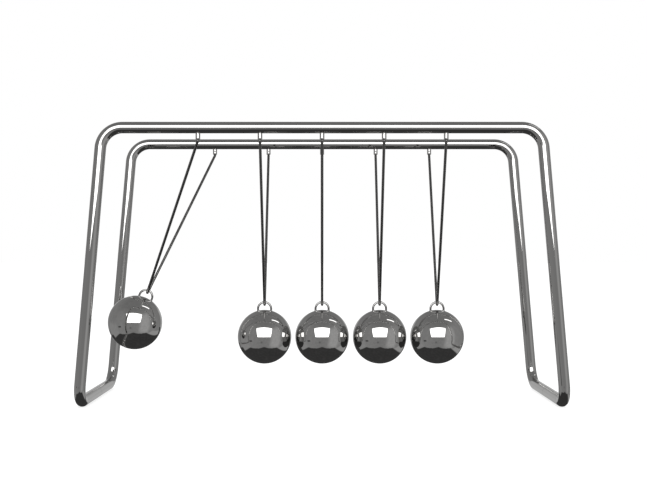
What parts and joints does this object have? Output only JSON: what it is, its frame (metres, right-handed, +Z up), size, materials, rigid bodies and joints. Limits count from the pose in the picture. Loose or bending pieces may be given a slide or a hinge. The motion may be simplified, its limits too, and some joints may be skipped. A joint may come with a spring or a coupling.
{
  "type": "newtons cradle",
  "caption": "Desk pendulum toy: a row of polished steel balls on V-shaped lines between two bent-rod hoops, with one end ball held out ready to swing.",
  "frame": {"origin": "middle of the footprint, on the surface that the cradle stands on", "axes": "+X along the row of balls, from the raised end ball to the far end ball; +Y from the front hoop to the rear hoop; +Z up"},
  "size_m": [0.1908, 0.0684, 0.11],
  "materials": {
    "frame_chrome": "polished chrome plate on bent steel rod",
    "ferrule_chrome": "polished chrome plate",
    "ball_steel": "mirror-polished solid steel",
    "eye_steel": "bright drawn steel wire",
    "line_steel": "fine stranded steel line",
    "dowel_steel": "ground steel pin, hidden"
  },
  "bodies": {
    "frame": {"front_hoop": "frame_chrome", "rear_hoop": "frame_chrome", "left_dowel": "dowel_steel", "right_dowel": "dowel_steel", "front_ferrule_1": "ferrule_chrome", "front_ferrule_2": "ferrule_chrome", "front_ferrule_3": "ferrule_chrome", "front_ferrule_4": "ferrule_chrome", "front_ferrule_5": "ferrule_chrome", "rear_ferrule_1": "ferrule_chrome", "rear_ferrule_2": "ferrule_chrome", "rear_ferrule_3": "ferrule_chrome", "rear_ferrule_4": "ferrule_chrome", "rear_ferrule_5": "ferrule_chrome", "line_ends_1": "line_steel", "line_ends_2": "line_steel", "line_ends_3": "line_steel", "line_ends_4": "line_steel", "line_ends_5": "line_steel"},
    "pendulum_1": {"line_1": "line_steel", "eye_1": "eye_steel", "ball_1": "ball_steel"},
    "pendulum_2": {"line_2": "line_steel", "eye_2": "eye_steel", "ball_2": "ball_steel"},
    "pendulum_3": {"line_3": "line_steel", "eye_3": "eye_steel", "ball_3": "ball_steel"},
    "pendulum_4": {"line_4": "line_steel", "eye_4": "eye_steel", "ball_4": "ball_steel"},
    "pendulum_5": {"line_5": "line_steel", "eye_5": "eye_steel", "ball_5": "ball_steel"}
  },
  "joints": [
    {"name": "ball_1_swing", "type": "hinge", "parent": "frame", "child": "pendulum_1", "pos_m": [-0.0475, 0, 0.10285], "axis": [0, 1, 0], "range_deg": [-23.5, 37.5]},
    {"name": "ball_2_swing", "type": "hinge", "parent": "frame", "child": "pendulum_2", "pos_m": [-0.02375, 0, 0.10285], "axis": [0, 1, 0], "range_deg": [-1, 23.5]},
    {"name": "ball_3_swing", "type": "hinge", "parent": "frame", "child": "pendulum_3", "pos_m": [0, 0, 0.10285], "axis": [0, 1, 0], "range_deg": [-1, 1]},
    {"name": "ball_4_swing", "type": "hinge", "parent": "frame", "child": "pendulum_4", "pos_m": [0.02375, 0, 0.10285], "axis": [0, 1, 0], "range_deg": [-1, 1]},
    {"name": "ball_5_swing", "type": "hinge", "parent": "frame", "child": "pendulum_5", "pos_m": [0.0475, 0, 0.10285], "axis": [0, 1, 0], "range_deg": [-60, 1]}
  ]
}
